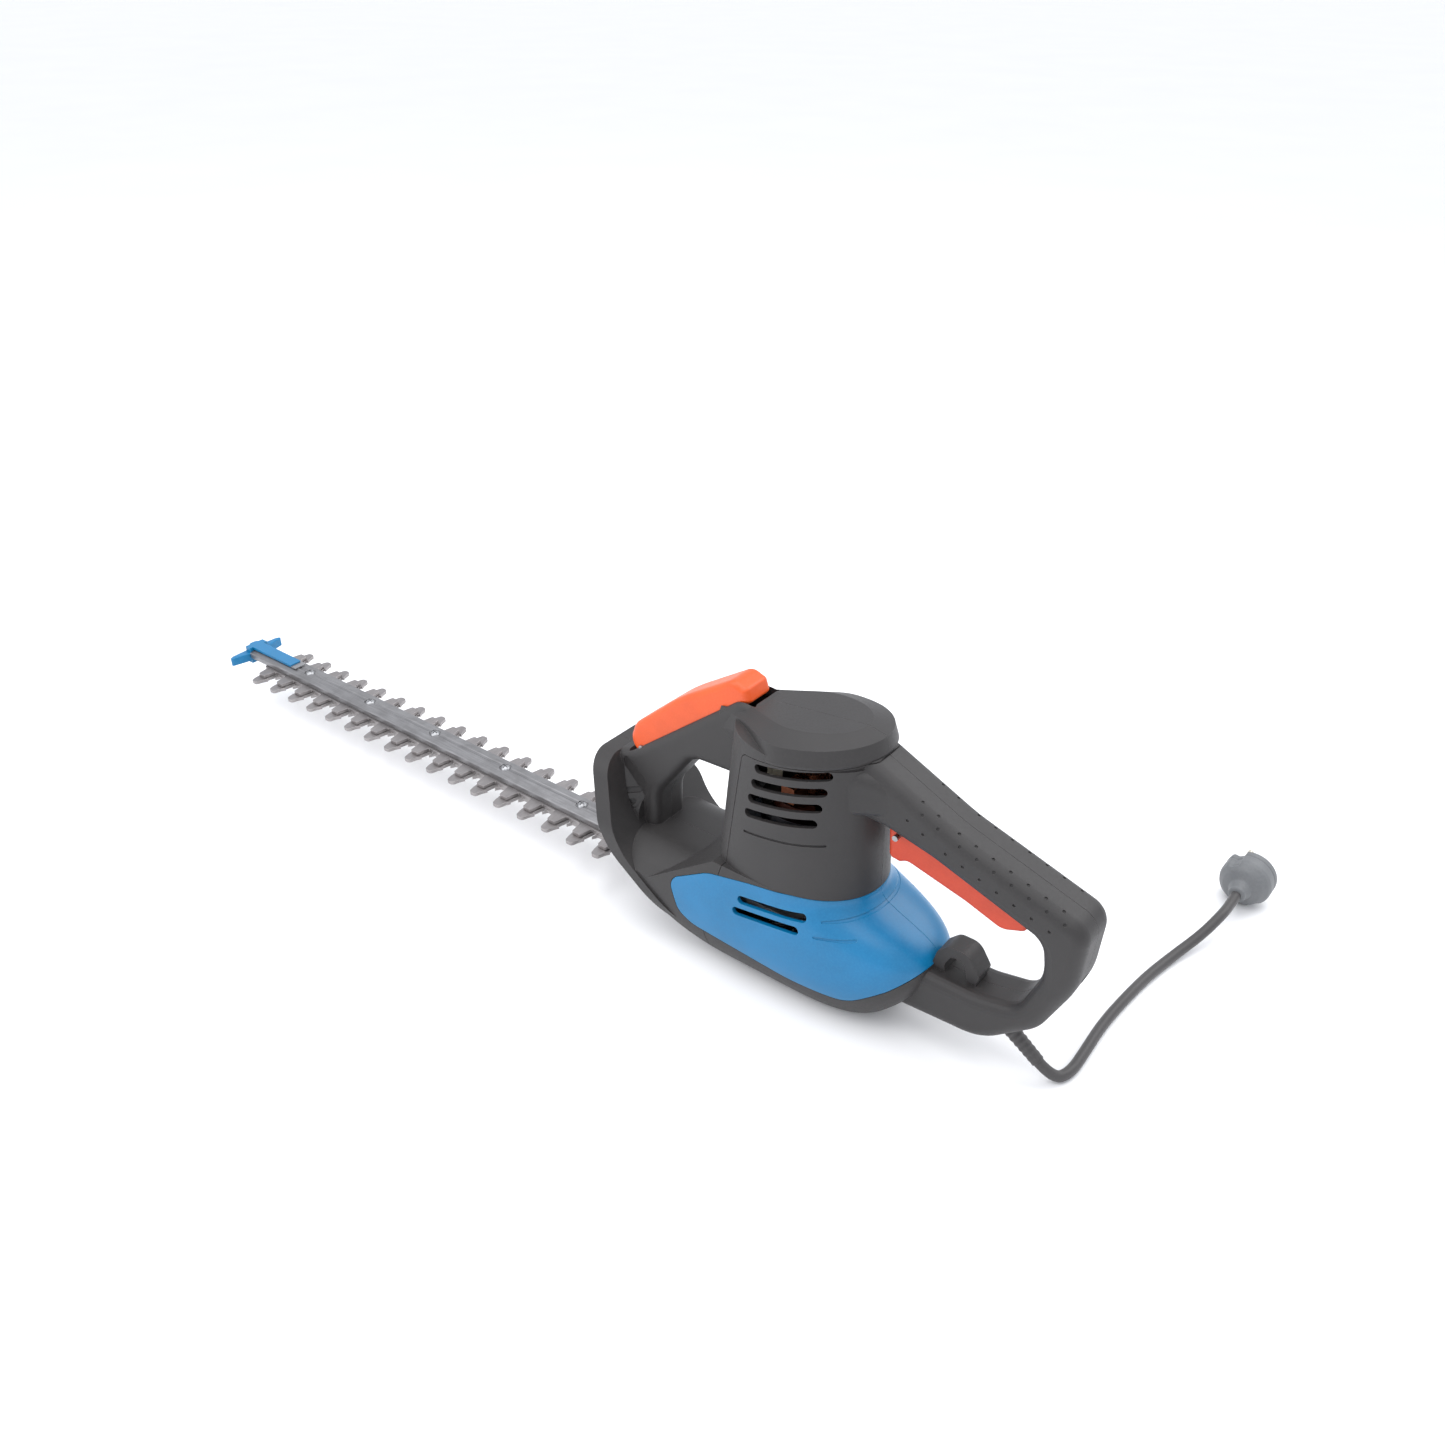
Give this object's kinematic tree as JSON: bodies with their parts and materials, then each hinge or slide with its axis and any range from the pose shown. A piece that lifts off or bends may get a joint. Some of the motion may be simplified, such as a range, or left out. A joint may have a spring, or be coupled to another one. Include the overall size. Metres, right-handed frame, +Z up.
{
  "type": "hedge trimmer",
  "caption": "Electric hedge trimmer with a double-sided toothed blade, collar guard, front and rear hand loops, and a short mains lead.",
  "frame": {"origin": "on the resting surface, under the middle of the tool's length and width, without its cord", "axes": "+Z up, the blade points to -X and the rear handle to +X, -Y is the tool's left side"},
  "size_m": [0.8939, 0.343, 0.2178],
  "materials": {
    "black_plastic": "matte, fine grain",
    "blue_plastic": "satin",
    "orange_plastic": "satin",
    "red_plastic": "satin",
    "blade_steel": "ground, dull",
    "bar_steel": "brushed",
    "bright_steel": "polished",
    "dark_steel": "laminated, dull",
    "gear_steel": "machined",
    "case_aluminium": "die cast",
    "copper": "bare metal",
    "winding": "lacquered wire",
    "carbon": "dull",
    "cream_plastic": "matte",
    "fan_plastic": "matte",
    "cord_rubber": "matte",
    "plug_grey": "matte",
    "plug_metal": "nickel plated"
  },
  "bodies": {
    "body": {"bar_mount_screws": "bright_steel", "bar_nuts": "gear_steel", "bar_screws": "bright_steel", "bar_washers": "gear_steel", "bearing_bridge": "cream_plastic", "brush_holders": "copper", "cable_hook": "black_plastic", "carbon_brushes": "carbon", "case_screws": "bright_steel", "field_coils": "winding", "front_housing_left": "black_plastic", "front_housing_right": "black_plastic", "front_switch": "cream_plastic", "gear_case_base": "case_aluminium", "gear_case_cover": "case_aluminium", "gear_case_screws": "bright_steel", "guide_bar": "bar_steel", "lower_bearing": "bright_steel", "lower_cover_left": "blue_plastic", "lower_cover_right": "blue_plastic", "mains_cord": "cord_rubber", "plug_body": "plug_grey", "plug_pins": "plug_metal", "rear_housing_left": "black_plastic", "rear_housing_right": "black_plastic", "rear_switch": "cream_plastic", "stator_core": "dark_steel", "strain_relief": "cord_rubber", "switch_bar_pin": "bright_steel", "tip_clip": "bright_steel", "tip_guard": "blue_plastic", "trigger_pin": "bright_steel", "trigger_spring": "bright_steel", "upper_bearing": "bright_steel"},
    "upper_blade": {"upper_blade": "blade_steel"},
    "lower_blade": {"lower_blade": "blade_steel"},
    "crank": {"drive_gear": "gear_steel", "crank_shaft": "gear_steel", "upper_eccentric": "gear_steel", "lower_eccentric": "gear_steel"},
    "armature": {"armature_shaft": "gear_steel", "motor_pinion": "gear_steel", "armature_core": "dark_steel", "armature_windings": "winding", "commutator": "copper", "cooling_fan": "fan_plastic"},
    "rear_trigger": {"rear_trigger": "red_plastic"},
    "front_switch_bar": {"front_switch_bar": "orange_plastic"}
  },
  "joints": [
    {"name": "armature_spin", "type": "hinge", "parent": "body", "child": "armature", "pos_m": [0.224, 0, 0.12], "axis": [0, 0, 1], "continuous": true},
    {"name": "crank_spin", "type": "hinge", "parent": "body", "child": "crank", "pos_m": [0.1925, 0, 0.05], "axis": [0, 0, 1], "continuous": true},
    {"name": "upper_blade_slide", "type": "slide", "parent": "body", "child": "upper_blade", "axis": [1, 0, 0], "range_m": [-0.00675, 0.00675]},
    {"name": "lower_blade_slide", "type": "slide", "parent": "body", "child": "lower_blade", "axis": [1, 0, 0], "range_m": [-0.00675, 0.00675]},
    {"name": "rear_trigger_press", "type": "hinge", "parent": "body", "child": "rear_trigger", "pos_m": [0.296, 0, 0.152], "axis": [0, -1, 0], "range_deg": [0, 5], "stiffness_Nm_per_rad": 1.5, "springref_deg": -11.46},
    {"name": "front_bar_press", "type": "hinge", "parent": "body", "child": "front_switch_bar", "pos_m": [0.08522, 0, 0.13552], "axis": [0, 1, 0], "range_deg": [0, 3], "stiffness_Nm_per_rad": 2, "springref_deg": -8.59}
  ],
  "couplings": [
    {"joint": "crank_spin", "follows": "armature_spin", "ratio": -0.18868},
    {"joint": "lower_blade_slide", "follows": "upper_blade_slide", "ratio": -1}
  ]
}
